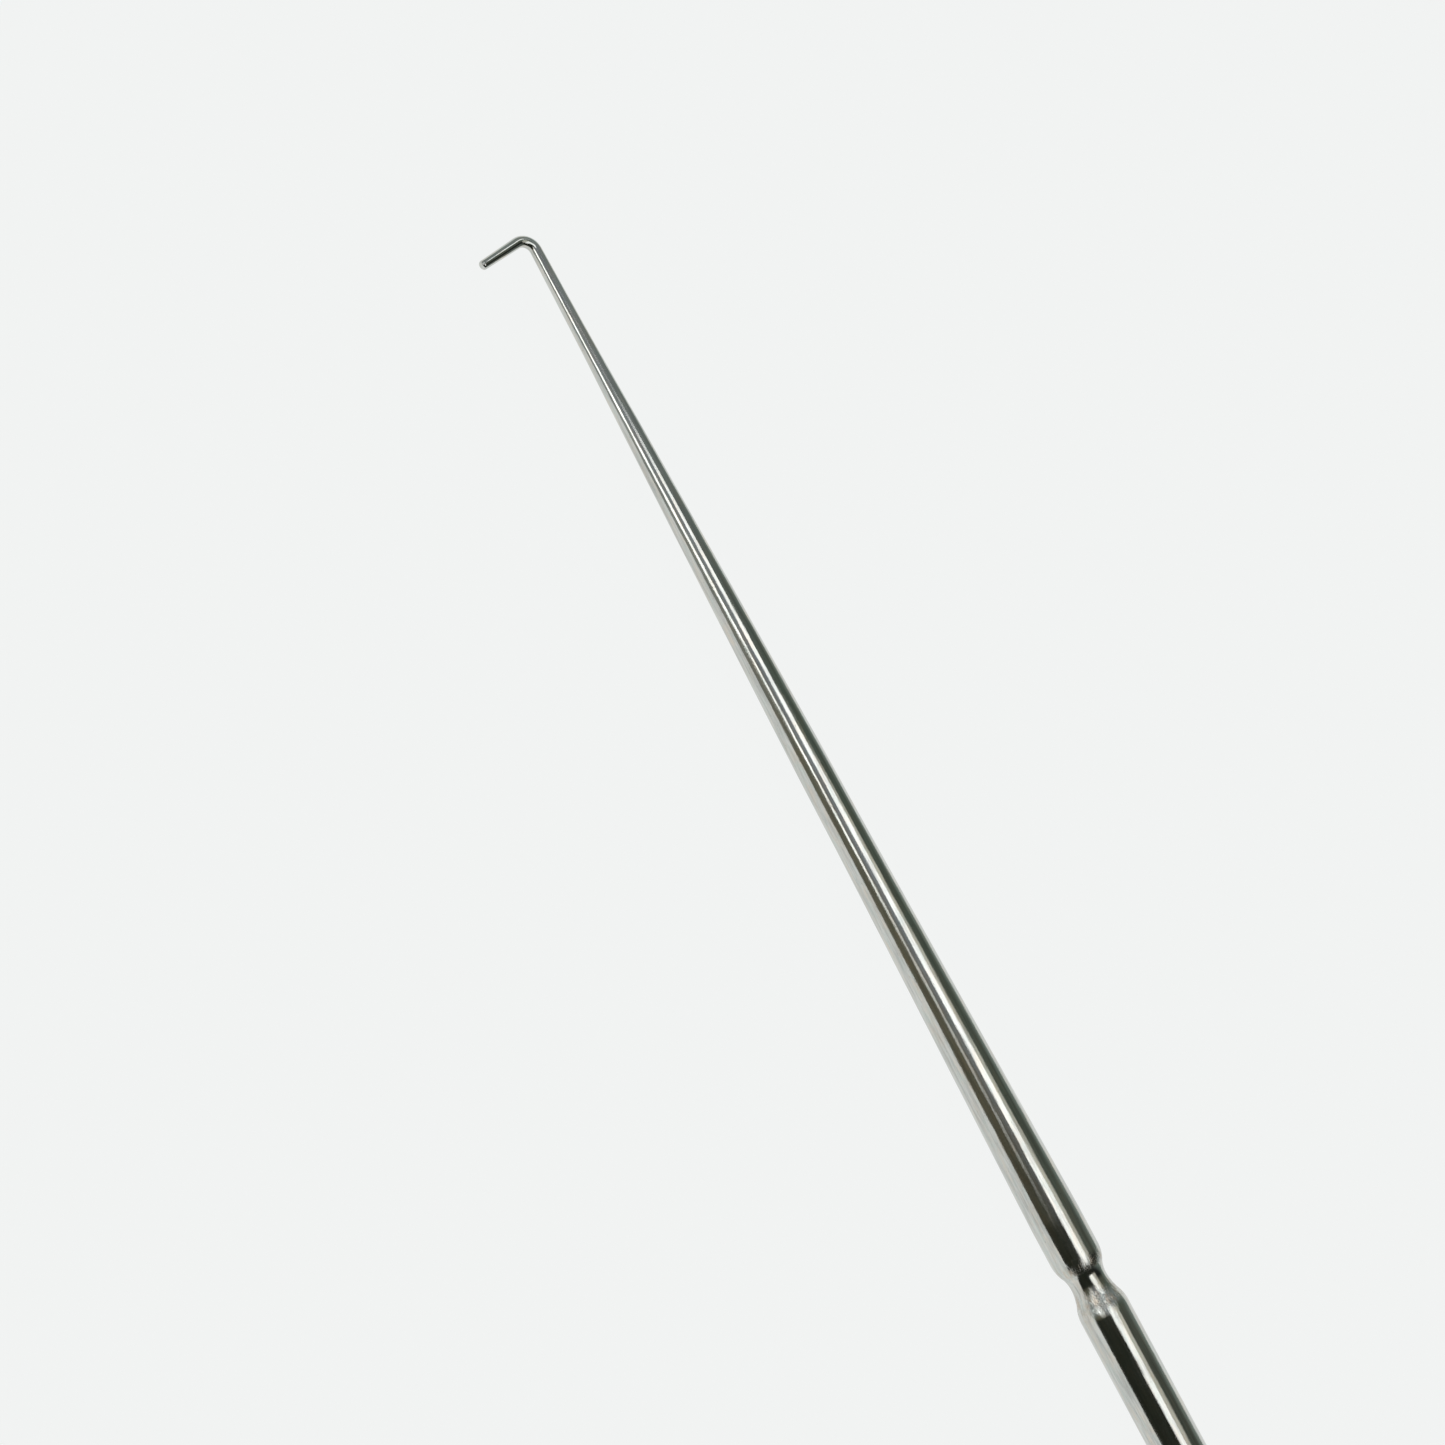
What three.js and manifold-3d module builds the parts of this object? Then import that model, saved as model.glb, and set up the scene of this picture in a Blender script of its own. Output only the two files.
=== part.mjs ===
// A double-ended engineer's scriber: a long ground point with a blunt hook, screwed to a waisted
// barrel that carries a knurled grip with hexagonal collars, and a straight carbide-tipped needle
// held in a collet chuck at the other end.
//
// Millimetres, +Z up. The tool lies on the lower flats of its two hexagonal collars (z = 0) and
// runs along X: the hook is at -X and the needle at +X. x = 0 is the middle of the front collar.
import * as THREE from 'three';
import { mergeVertices } from 'three/addons/utils/BufferGeometryUtils.js';
import Module from 'manifold-3d';

const wasm = await Module();
wasm.setup();

// ---- Driving dimensions ----------------------------------------------------------------------

const ROD_R = 3;                  // shank of the hooked point, and the barrel
const HEX_FLATS = 10;             // across the flats of the grip's collars
const COLLAR = 9;                 // length of each hexagonal collar
const GRIP = 62;                  // knurled sleeve and both collars
const BARE_BARREL = 26.5;         // barrel in front of the grip, waist included
const AXIS_Z = HEX_FLATS / 2;     // height of the tool's axis over the bench

const GRIP_FRONT = -COLLAR / 2;
const GRIP_REAR = GRIP_FRONT + GRIP;
const SEAM = GRIP_FRONT - BARE_BARREL;   // where the hooked point meets the barrel

const waist = { r: 2.22, at: 1.65, mouthR: 2.6, frontArc: 3.75, rearArc: 6, shoulderArc: 4.4 };

// Hooked point: radius against distance from the seam, ending where the bend starts.
const taper = [[6.4, ROD_R], [49.4, 2.21], [67.5, 1.96], [103.6, 1.22], [117.2, 0.88], [129.75, 0.69]];
const hook = {
  bendRadius: 1.6,
  bendAngle: THREE.MathUtils.degToRad(99.7),
  legR: 0.65,
  leg: 5.54,
  endR: 0.56,
  endRound: 0.36,
};

const stud = { r: 1.25, half: 4.9, slotWidth: 0.5, slotDepth: 0.8 };   // M2.5 joining stud
const studHole = { r: 1.29, depth: 5.3 };
const needle = { r: 1, length: 90, tipLength: 14, point: 12, pointR: 0.05, out: 25, pushIn: 26 };
const needleBore = 1.15;
const stop = { length: 3, clearOfNeedle: 3 };
const thread = { r: 2.75, length: 8, runOut: 0.25, chamfer: 0.3 };     // chuck thread on the barrel
const SEAT = 3;                   // length of the collet's conical seat in the barrel
const FIT = 0.05;                 // running clearance, on the radius
const nut = { gap: 0.5, length: 14.5, r: 4.1, chamfer: 0.4, nose: 5.5, noseR: 1.9, hole: 1.3 };
const collet = {
  bore: 1.03, shankR: 1.85, headR: 2.27, head: 0.9, faceR: 1.5, cone: 2.5, slit: 0.4, slitLength: 8.5,
};
const sleeve = { r: 4.8, reliefR: 4.45, relief: 0.8, chamfer: 0.35 };
const gripBore = ROD_R + 0.02;
// The grip's set screws: toe, heel and head are distances from the tool's axis.
const setScrew = {
  r: 1.22, hole: 1.27, dogR: 0.75, socket: 1.3, socketDepth: 0.9, toe: 2.7, heel: 3.06, head: 4.6,
};

const screwPlaces = [GRIP_FRONT + COLLAR / 2, GRIP_REAR - COLLAR / 2];
const THREAD_END = GRIP_REAR + thread.length;
const NUT_FRONT = GRIP_REAR + nut.gap;
const NUT_REAR = NUT_FRONT + nut.length;
const COLLET_FRONT = GRIP_REAR - 0.5;              // inside the barrel
const COLLET_HEAD = THREAD_END + collet.head;      // where the nut's cone starts to close it
const COLLET_FACE = COLLET_HEAD + collet.cone;
const NEEDLE_END = NUT_REAR + needle.out;
const NEEDLE_START = NEEDLE_END - needle.length;
const STOP_REAR = NEEDLE_START - needle.pushIn - stop.clearOfNeedle;
const SIDES = 40;

// ---- Materials -------------------------------------------------------------------------------

const steel = (color, roughness) => new THREE.MeshStandardMaterial({ color, roughness, metalness: 1 });
const polishedSteel = steel(0xa3a29e, 0.15);
const nickelPlate = steel(0xb3b0a8, 0.25);
const springSteel = steel(0x77736b, 0.3);
const blackSteel = steel(0x202124, 0.45);
const carbide = steel(0x5a5b60, 0.35);
const brass = steel(0xb9924a, 0.3);

// ---- Shape helpers ---------------------------------------------------------------------------

// Turned shape about X from [x, radius] pairs, which run in order along the outline.
function turned(outline, sides = SIDES) {
  const points = outline.map(([x, r]) => new THREE.Vector2(r, x));
  return new THREE.LatheGeometry(points, sides).rotateZ(-Math.PI / 2);
}

// A ring's outline closes on itself.
const ring = (outline, sides) => turned([...outline, outline[0]], sides);

const rod = (x0, x1, r, sides) => turned([[x0, 0], [x0, r], [x1, r], [x1, 0]], sides);

// Points [x, r] along a circular arc about [cx, cr], from angle a0 to a1 measured from +X.
function arc(cx, cr, radius, a0, a1, steps = 6) {
  return Array.from({ length: steps + 1 }, (_, i) => {
    const a = a0 + ((a1 - a0) * i) / steps;
    return [cx + radius * Math.cos(a), cr + radius * Math.sin(a)];
  });
}

function solid(geometry) {
  const bare = geometry.index ? geometry.toNonIndexed() : geometry.clone();
  bare.deleteAttribute('normal');
  bare.deleteAttribute('uv');
  const merged = mergeVertices(bare, 1e-4);
  return new wasm.Manifold(new wasm.Mesh({
    numProp: 3,
    vertProperties: merged.attributes.position.array,
    triVerts: new Uint32Array(merged.index.array),
  }));
}

function geometryOf(manifold) {
  const { vertProperties, triVerts } = manifold.getMesh();
  return new THREE.BufferGeometry()
    .setAttribute('position', new THREE.BufferAttribute(new Float32Array(vertProperties), 3))
    .setIndex(new THREE.BufferAttribute(new Uint32Array(triVerts), 1));
}

// A prism across the tool at x, pointing away from the axis at the angle of a collar's flat.
const FLAT_ANGLE = THREE.MathUtils.degToRad(60);   // from +Z towards -Y
function acrossFlat(x, from, to, r, sides) {
  return new THREE.CylinderGeometry(r, r, to - from, sides)
    .translate(0, (from + to) / 2, 0)
    .rotateX(Math.PI / 2 + FLAT_ANGLE)
    .translate(x, 0, 0);
}

const tool = new THREE.Group();
tool.position.z = AXIS_Z;

function add(name, geometry, material) {
  const mesh = new THREE.Mesh(geometry, material);
  mesh.name = name;
  tool.add(mesh);
}

// ---- Hooked point ----------------------------------------------------------------------------

// Bends a straight rod, drawn with its start at y = 0, where the real one is bent: it runs along
// -X from the seam, turns towards -Y through the bend angle, and ends in the hook's leg.
function bentRod(geometry, bendAt) {
  const { bendRadius: R, bendAngle: full } = hook;
  const p = geometry.attributes.position;
  for (let i = 0; i < p.count; i++) {
    const inward = p.getX(i), along = p.getY(i), up = -p.getZ(i);
    const turn = THREE.MathUtils.clamp((along - bendAt) / R, 0, full);
    const straight = Math.min(along, bendAt);
    const past = Math.max(along - bendAt - R * full, 0);
    const back = straight + R * Math.sin(turn) + past * Math.cos(full) - inward * Math.sin(turn);
    const side = R * (1 - Math.cos(turn)) + past * Math.sin(full) + inward * Math.cos(turn);
    p.setXYZ(i, SEAM - back, -side, up);
  }
  return geometry;
}

function hookedPoint() {
  const bendAt = taper.at(-1)[0];
  const bendR = taper.at(-1)[1];
  const bendEnd = bendAt + hook.bendRadius * hook.bendAngle;
  const end = bendEnd + hook.leg;
  const shoulderStart = Math.acos(1 - (ROD_R - waist.mouthR) / waist.shoulderArc);
  const shoulderLength = waist.shoulderArc * Math.sin(shoulderStart);
  const along = (steps, a, b, ra, rb) => Array.from({ length: steps }, (_, i) =>
    [a + ((b - a) * (i + 1)) / steps, ra + ((rb - ra) * (i + 1)) / steps]);
  const ground = new THREE.SplineCurve(taper.map(([x, r]) => new THREE.Vector2(x, r)))
    .getPoints(16).map((v) => [v.x, v.y]);
  const outline = [
    [studHole.depth, 0], [studHole.depth, studHole.r], [0.3, studHole.r], [0, studHole.r + 0.3],
    [0, waist.mouthR - 0.06],
    ...arc(shoulderLength, ROD_R - waist.shoulderArc, waist.shoulderArc,
      Math.PI / 2 + shoulderStart, Math.PI / 2, 6),
    ...ground,
    ...along(10, bendAt, bendEnd, bendR, hook.legR),
    ...along(2, bendEnd, end - hook.endRound, hook.legR, hook.endR),
    ...arc(end - hook.endRound, hook.endR - hook.endRound, hook.endRound, Math.PI / 2, 0, 5).slice(1),
    [end, 0],
  ];
  const straight = new THREE.LatheGeometry(outline.map(([x, r]) => new THREE.Vector2(r, x)), 30);
  return bentRod(straight, bendAt);
}

add('hook_point', hookedPoint(), polishedSteel);

// ---- Joining stud, inside the seam -----------------------------------------------------------

function joiningStud() {
  const { r, half, slotWidth, slotDepth } = stud;
  const body = solid(turned([
    [SEAM - half, 0], [SEAM - half, r - 0.3], [SEAM - half + 0.3, r],
    [SEAM + half - 0.3, r], [SEAM + half, r - 0.3], [SEAM + half, 0],
  ], 24));
  const slot = new THREE.BoxGeometry(2 * slotDepth, slotWidth, 3 * r).translate(SEAM - half, 0, 0);
  return geometryOf(body.subtract(solid(slot)));
}

add('joining_stud', joiningStud(), blackSteel);

// ---- Barrel ----------------------------------------------------------------------------------

function barrel() {
  const w = waist;
  const waistX = SEAM + w.at;
  const flare = Math.acos(1 - (ROD_R - w.r) / (w.rearArc + w.shoulderArc));
  const flareEnd = waistX + (w.rearArc + w.shoulderArc) * Math.sin(flare);
  const frontTurn = Math.asin(w.at / w.frontArc);
  const pocketFront = COLLET_FRONT - 0.5;
  const seatFront = THREAD_END - SEAT;
  const outline = [
    [SEAM, studHole.r + 0.3],
    [SEAM, w.mouthR - 0.08],
    ...arc(waistX, w.r + w.frontArc, w.frontArc, -Math.PI / 2 - frontTurn, -Math.PI / 2, 6),
    ...arc(waistX, w.r + w.rearArc, w.rearArc, -Math.PI / 2, -Math.PI / 2 + flare, 6).slice(1),
    ...arc(flareEnd, ROD_R - w.shoulderArc, w.shoulderArc, Math.PI / 2 + flare, Math.PI / 2, 6).slice(1),
    [GRIP_REAR, ROD_R], [GRIP_REAR + thread.runOut, thread.r],
    [THREAD_END - thread.chamfer, thread.r], [THREAD_END, thread.r - thread.chamfer],
    [THREAD_END, collet.headR + FIT],
    [seatFront, collet.shankR + FIT], [pocketFront, collet.shankR + FIT],
    [pocketFront, needleBore], [SEAM + studHole.depth, needleBore],
    [SEAM + studHole.depth, studHole.r], [SEAM + 0.3, studHole.r],
  ];
  let body = solid(ring(outline));
  for (const x of screwPlaces) {
    body = body.subtract(solid(acrossFlat(x, setScrew.toe - 0.1, HEX_FLATS, setScrew.dogR + 0.06, 16)));
  }
  return geometryOf(body);
}

add('barrel', barrel(), polishedSteel);

add('needle_stop', rod(STOP_REAR - stop.length, STOP_REAR, needleBore - 0.02, 24), brass);

// ---- Grip: a knurled sleeve held between two hexagonal collars -------------------------------

// A length of hexagonal bar, bored, with its corners chamfered by turning at both ends.
function hexCollar(middle) {
  const corner = HEX_FLATS / Math.sqrt(3);
  const half = COLLAR / 2;
  const chamfer = 0.5;
  const envelope = ring([
    [-half, gripBore + 0.3], [-half, HEX_FLATS / 2], [-half + chamfer, corner + 0.1],
    [half - chamfer, corner + 0.1], [half, HEX_FLATS / 2], [half, gripBore + 0.3],
    [half - 0.3, gripBore], [-half + 0.3, gripBore],
  ].map(([x, r]) => [x + middle, r]));
  const bar = new THREE.CylinderGeometry(corner, corner, COLLAR + 2, 6)
    .rotateY(Math.PI / 6)
    .rotateZ(-Math.PI / 2)
    .translate(middle, 0, 0);
  const screwHole = acrossFlat(middle, ROD_R - 1, HEX_FLATS, setScrew.hole, 24);
  return geometryOf(solid(envelope).intersect(solid(bar)).subtract(solid(screwHole)));
}

function knurledSleeve() {
  const start = GRIP_FRONT + COLLAR;
  const end = GRIP_REAR - COLLAR;
  const land = sleeve.relief + sleeve.chamfer;
  return ring([
    [start, gripBore], [start, sleeve.reliefR],
    [start + sleeve.relief, sleeve.reliefR], [start + land, sleeve.r],
    [end - land, sleeve.r], [end - sleeve.relief, sleeve.reliefR],
    [end, sleeve.reliefR], [end, gripBore],
  ]);
}

function gripSetScrew(x) {
  const s = setScrew;
  const body = solid(acrossFlat(x, s.heel, s.head, s.r, 24));
  const dog = solid(acrossFlat(x, s.toe, s.heel + 0.1, s.dogR, 16));
  const socket = solid(acrossFlat(x, s.head - s.socketDepth, s.head + 1, s.socket / Math.sqrt(3), 6));
  return geometryOf(body.add(dog).subtract(socket));
}

add('grip_sleeve', knurledSleeve(), nickelPlate);
['front', 'rear'].forEach((end, i) => {
  add(end + '_collar', hexCollar(screwPlaces[i]), nickelPlate);
  add(end + '_set_screw', gripSetScrew(screwPlaces[i]), blackSteel);
});

// ---- Collet chuck ----------------------------------------------------------------------------

function colletSolid() {
  const c = collet;
  const body = solid(ring([
    [COLLET_FRONT, c.bore], [COLLET_FRONT, c.shankR - 0.2], [COLLET_FRONT + 0.2, c.shankR],
    [THREAD_END - SEAT, c.shankR], [THREAD_END, c.headR], [COLLET_HEAD, c.headR],
    [COLLET_FACE, c.faceR], [COLLET_FACE, c.bore],
  ], 36));
  const slitMiddle = COLLET_FACE + 1 - (c.slitLength + 1) / 2;
  const slit = new THREE.BoxGeometry(c.slitLength + 1, 3 * c.headR, c.slit)
    .translate(slitMiddle, 0, 0);
  const crossSlit = slit.clone().rotateX(Math.PI / 2);
  return geometryOf(body.subtract(solid(slit)).subtract(solid(crossSlit)));
}

add('collet', colletSolid(), springSteel);

function chuckNut() {
  const n = nut;
  const noseStart = NUT_REAR - n.nose;
  const neckR = n.r - n.chamfer;
  const threadR = thread.r + FIT;
  const headR = collet.headR + 0.07;
  return ring([
    [NUT_FRONT, threadR + thread.chamfer], [NUT_FRONT, neckR], [NUT_FRONT + n.chamfer, n.r],
    [noseStart - 0.5 - n.chamfer, n.r], [noseStart - 0.5, neckR], [noseStart, neckR],
    [NUT_REAR - 0.2, n.noseR], [NUT_REAR, n.noseR - 0.2],
    [NUT_REAR, n.hole + 0.15], [NUT_REAR - 0.15, n.hole],
    [COLLET_FACE + 0.15, n.hole], [COLLET_FACE + 0.15, collet.faceR + FIT],
    [COLLET_HEAD - 0.05, headR], [COLLET_HEAD - 0.5, headR], [COLLET_HEAD - 0.5, threadR],
    [NUT_FRONT + thread.chamfer, threadR],
  ]);
}

add('chuck_nut', chuckNut(), nickelPlate);

// ---- Straight needle -------------------------------------------------------------------------

const TIP_START = NEEDLE_END - needle.tipLength;

add('needle', turned([
  [NEEDLE_START, 0], [NEEDLE_START, needle.r - 0.25], [NEEDLE_START + 0.25, needle.r],
  [TIP_START, needle.r], [TIP_START, 0],
], 32), polishedSteel);

add('carbide_tip', turned([
  [TIP_START, 0], [TIP_START, needle.r], [NEEDLE_END - needle.point, needle.r],
  [NEEDLE_END - needle.pointR, needle.pointR], [NEEDLE_END, 0],
], 32), carbide);

export default tool;
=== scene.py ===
"""Looks of a double-ended engineer's scriber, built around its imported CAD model.

Metres, +Z up. The tool runs along X with its axis AXIS_Z above the bench: the hooked point is at
-X, the needle at +X, and the hook turns towards -Y.
"""
import math

import bmesh
import bpy
from mathutils import Matrix, Vector


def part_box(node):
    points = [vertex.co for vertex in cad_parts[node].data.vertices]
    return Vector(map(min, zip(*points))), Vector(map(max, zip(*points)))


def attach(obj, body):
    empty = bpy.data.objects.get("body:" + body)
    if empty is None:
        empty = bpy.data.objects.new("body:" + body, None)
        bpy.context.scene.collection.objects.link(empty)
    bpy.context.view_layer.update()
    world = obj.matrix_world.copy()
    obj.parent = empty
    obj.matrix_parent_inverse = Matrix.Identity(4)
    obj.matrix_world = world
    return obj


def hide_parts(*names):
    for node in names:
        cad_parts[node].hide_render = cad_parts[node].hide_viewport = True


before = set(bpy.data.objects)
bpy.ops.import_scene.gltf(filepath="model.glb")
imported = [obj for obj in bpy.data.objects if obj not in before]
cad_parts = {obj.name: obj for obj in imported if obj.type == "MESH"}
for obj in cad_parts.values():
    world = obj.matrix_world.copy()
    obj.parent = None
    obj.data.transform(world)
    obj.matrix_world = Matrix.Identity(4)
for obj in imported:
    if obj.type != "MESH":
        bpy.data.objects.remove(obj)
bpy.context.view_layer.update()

MM = 0.001
TAU = 2 * math.pi

# ---- Sizes, in millimetres unless the name says otherwise -------------------------------------

ROD_R = 3.0
HEX_FLATS = 10.0
HEX_CORNER = HEX_FLATS / math.sqrt(3)
AXIS_Z = HEX_FLATS / 2            # the tool lies on two flats of its collars
GRIP_BORE = ROD_R + 0.02
FLAT_ANGLE = math.radians(60)     # the set screws' flat, from +Z towards -Y

WAIST = dict(r=2.22, at=1.65, mouth_r=2.6, front_arc=3.75, rear_arc=6.0, shoulder_arc=4.4)
TAPER = [(6.4, ROD_R), (49.4, 2.21), (67.5, 1.96), (103.6, 1.22), (117.2, 0.88), (129.75, 0.69)]
HOOK = dict(bend_radius=1.6, bend_angle=math.radians(99.7), leg_r=0.65, leg=5.54,
            end_r=0.56, end_round=0.36)
SEAM_CHAMFER = 0.1                # breaks both edges of the joint, which shows as a fine line
STUD = dict(r=1.25, chamfer=0.3, pitch=0.45, thread_depth=0.2, slot_width=0.5, slot_depth=0.8)
STUD_HOLE = dict(r=1.29, depth=5.3, chamfer=0.3)
STOP = dict(gap=0.02, chamfer=0.15)
NEEDLE = dict(r=1.0, chamfer=0.25)
NEEDLE_BORE = 1.15
THREAD = dict(r=2.75, run_out=0.25, chamfer=0.3, pitch=0.5, depth=0.28)
THREAD_STEPS = 8                  # mesh steps along one turn of a thread
SEAT = 3.0                        # length of the barrel's cone, where the collet sits
POCKET_GAP = 0.5                  # behind the collet, for its travel
FIT = 0.05
NUT = dict(r=4.1, chamfer=0.4, edge=0.05, groove=0.5, nose=5.5, nose_r=1.9, nose_edge=0.2,
           hole=1.3, hole_chamfer=0.15, head_gap=0.07, shelf=0.5)
COLLET = dict(bore=1.03, shank_r=1.85, chamfer=0.2, head_r=2.27, face_r=1.5, cone=2.5,
              corner=0.05, slit=0.4, slit_length=8.5)
SLEEVE = dict(r=4.8, relief_r=4.45, relief=0.8, chamfer=0.35, edge=0.12, bore_chamfer=0.2)
COLLAR = dict(chamfer=0.5, bore_chamfer=0.3, edge=0.05, edge_drop=0.06, corner_cut=0.05,
              corner_blend=0.06, chamfer_blend=0.05, hole_rim=0.15)
SCREW = dict(r=1.22, hole=1.27, dog_r=0.75, dog_chamfer=0.1, socket=1.3, socket_depth=0.9,
             socket_cone=0.25, toe=2.7, heel=3.06, heel_chamfer=0.25, head=4.6, head_chamfer=0.12,
             pitch=0.45, thread_depth=0.2)
DIMPLE = dict(depth=0.1, gap=0.06)
TIP = dict(point=12.0, point_r=0.05, land=0.2, taper=0.985)
SAME = 0.01                       # radii this close to an outline's crest count as the crest


def span(node):
    """A CAD node's first and last x, in millimetres."""
    low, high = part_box(node)
    return low.x / MM, high.x / MM


SEAM = span("barrel")[0]
THREAD_END = span("barrel")[1]
GRIP_REAR = span("rear_collar")[1]


# ---- Mesh helpers -----------------------------------------------------------------------------

def piece(name, verts, faces, sharp=30):
    """A smooth-shaded mesh whose edges over `sharp` degrees stay crisp. Verts are in millimetres."""
    mesh = bpy.data.meshes.new(name)
    mesh.from_pydata([tuple(c * MM for c in v) for v in verts], [], faces)
    mesh.validate()
    mesh.shade_smooth()
    mesh.set_sharp_from_angle(angle=math.radians(sharp))
    obj = bpy.data.objects.new(name, mesh)
    bpy.context.scene.collection.objects.link(obj)
    return obj


def on_axis(x, r, angle):
    """A point at radius r round the tool's axis, at `angle` from +Z towards -Y."""
    return (x, -r * math.sin(angle), AXIS_Z + r * math.cos(angle))


def revolved(name, outline, sides=96, radius=None, place=None, sharp=30):
    """A solid of revolution about the tool's axis from (x, r) points.

    The outline either starts and ends on the axis or closes on itself. radius(x, r, angle)
    may reshape it, and place(x, r, angle) may put it somewhere other than on the axis.
    """
    place = place or on_axis
    solid = outline[0][1] == 0
    body = outline[1:-1] if solid else outline
    verts = []
    for x, r in body:
        for k in range(sides):
            angle = TAU * k / sides
            verts.append(place(x, radius(x, r, angle) if radius else r, angle))
    faces = []
    rings = len(body)
    for i in range(rings - 1 if solid else rings):
        a, b = i * sides, (i + 1) % rings * sides
        for k in range(sides):
            n = (k + 1) % sides
            faces.append((a + k, a + n, b + n, b + k))
    if solid:
        faces.append(tuple(reversed(range(sides))))
        faces.append(tuple((rings - 1) * sides + k for k in range(sides)))
    return made_outward(piece(name, verts, faces, sharp))


def made_outward(obj):
    bm = bmesh.new()
    bm.from_mesh(obj.data)
    bmesh.ops.recalc_face_normals(bm, faces=bm.faces)
    bm.to_mesh(obj.data)
    bm.free()
    return obj


def arc(cx, cr, radius, a0, a1, steps=24):
    """(x, r) points along a circular arc, with its angles measured from +X."""
    return [(cx + radius * math.cos(a0 + (a1 - a0) * i / steps),
             cr + radius * math.sin(a0 + (a1 - a0) * i / steps)) for i in range(steps + 1)]


def between(start, end, steps):
    """Points after `start`, up to and including `end`, on a straight line."""
    return [(start[0] + (end[0] - start[0]) * i / steps,
             start[1] + (end[1] - start[1]) * i / steps) for i in range(1, steps + 1)]


def rounded(outline, radius=0.06, steps=3):
    """The same closed outline with every corner broken by a small curve."""
    out = []
    count = len(outline)
    for i in range(count):
        before, here, after = (Vector(outline[(i + d) % count]) for d in (-1, 0, 1))
        back, on = before - here, after - here
        cut = min(radius, back.length * 0.4, on.length * 0.4)
        p, q = here + back.normalized() * cut, here + on.normalized() * cut
        for s in range(steps + 1):
            t = s / steps
            out.append(tuple((1 - t) ** 2 * p + 2 * t * (1 - t) * here + t * t * q))
    return out


def spline(points, steps):
    """A Catmull-Rom curve through (x, r) points, steps to each span."""
    ends = [points[0]] + list(points) + [points[-1]]
    out = [points[0]]
    for i in range(1, len(ends) - 2):
        a, b, c, d = (Vector(p) for p in ends[i - 1:i + 3])
        for s in range(1, steps + 1):
            t = s / steps
            out.append(tuple(0.5 * (2 * b + (c - a) * t + (2 * a - 5 * b + 4 * c - d) * t ** 2
                                    + (3 * b - a - 3 * c + d) * t ** 3)))
    return out


def cut(obj, *tools, sharp=30):
    """Subtracts the tools from obj and deletes them; edges over `sharp` degrees are crisp again."""
    for tool in tools:
        boolean = obj.modifiers.new("cut", "BOOLEAN")
        boolean.operation = "DIFFERENCE"
        boolean.solver = "EXACT"
        boolean.object = tool
    bpy.context.view_layer.update()
    graph = bpy.context.evaluated_depsgraph_get()
    mesh = bpy.data.meshes.new_from_object(obj.evaluated_get(graph))
    obj.modifiers.clear()
    obj.data = mesh
    mesh.name = obj.name
    without_slivers(mesh)
    mesh.shade_smooth()
    mesh.set_sharp_from_angle(angle=math.radians(sharp))
    for tool in tools:
        bpy.data.objects.remove(tool)
    return obj


def without_slivers(mesh, smallest=0.003):
    """Collapses what a cut left shorter than `smallest` millimetres."""
    bm = bmesh.new()
    bm.from_mesh(mesh)
    bmesh.ops.remove_doubles(bm, verts=bm.verts, dist=smallest * MM)
    bmesh.ops.triangulate(bm, faces=[face for face in bm.faces if len(face.verts) > 4])
    bmesh.ops.dissolve_degenerate(bm, edges=bm.edges, dist=smallest * MM)
    bm.to_mesh(mesh)
    bm.free()


def box_piece(name, middle, size):
    x, y, z = (s / 2 for s in size)
    verts = [(middle[0] + i * x, middle[1] + j * y, middle[2] + k * z)
             for i in (-1, 1) for j in (-1, 1) for k in (-1, 1)]
    faces = [(0, 1, 3, 2), (4, 6, 7, 5), (0, 4, 5, 1), (2, 3, 7, 6), (0, 2, 6, 4), (1, 5, 7, 3)]
    return piece(name, verts, faces)


def across_flat(x_middle):
    """Places a turned shape across the tool, with its own axis through the screws' flat."""
    out = Vector((0, -math.sin(FLAT_ANGLE), math.cos(FLAT_ANGLE)))
    side = Vector((0, math.cos(FLAT_ANGLE), math.sin(FLAT_ANGLE)))

    def place(along, r, angle):
        p = Vector((x_middle + r * math.cos(angle), 0, AXIS_Z)) + out * along
        return tuple(p + side * r * math.sin(angle))
    return place


def thread_ridge(x, angle, pitch, depth):
    """How far below the crest a right-hand thread's flank lies here."""
    phase = (x / pitch - angle / TAU) % 1
    return depth * min(1.0, max(0.0, abs(2 * phase - 1) * 1.25 - 0.1))


# ---- Materials --------------------------------------------------------------------------------

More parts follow.
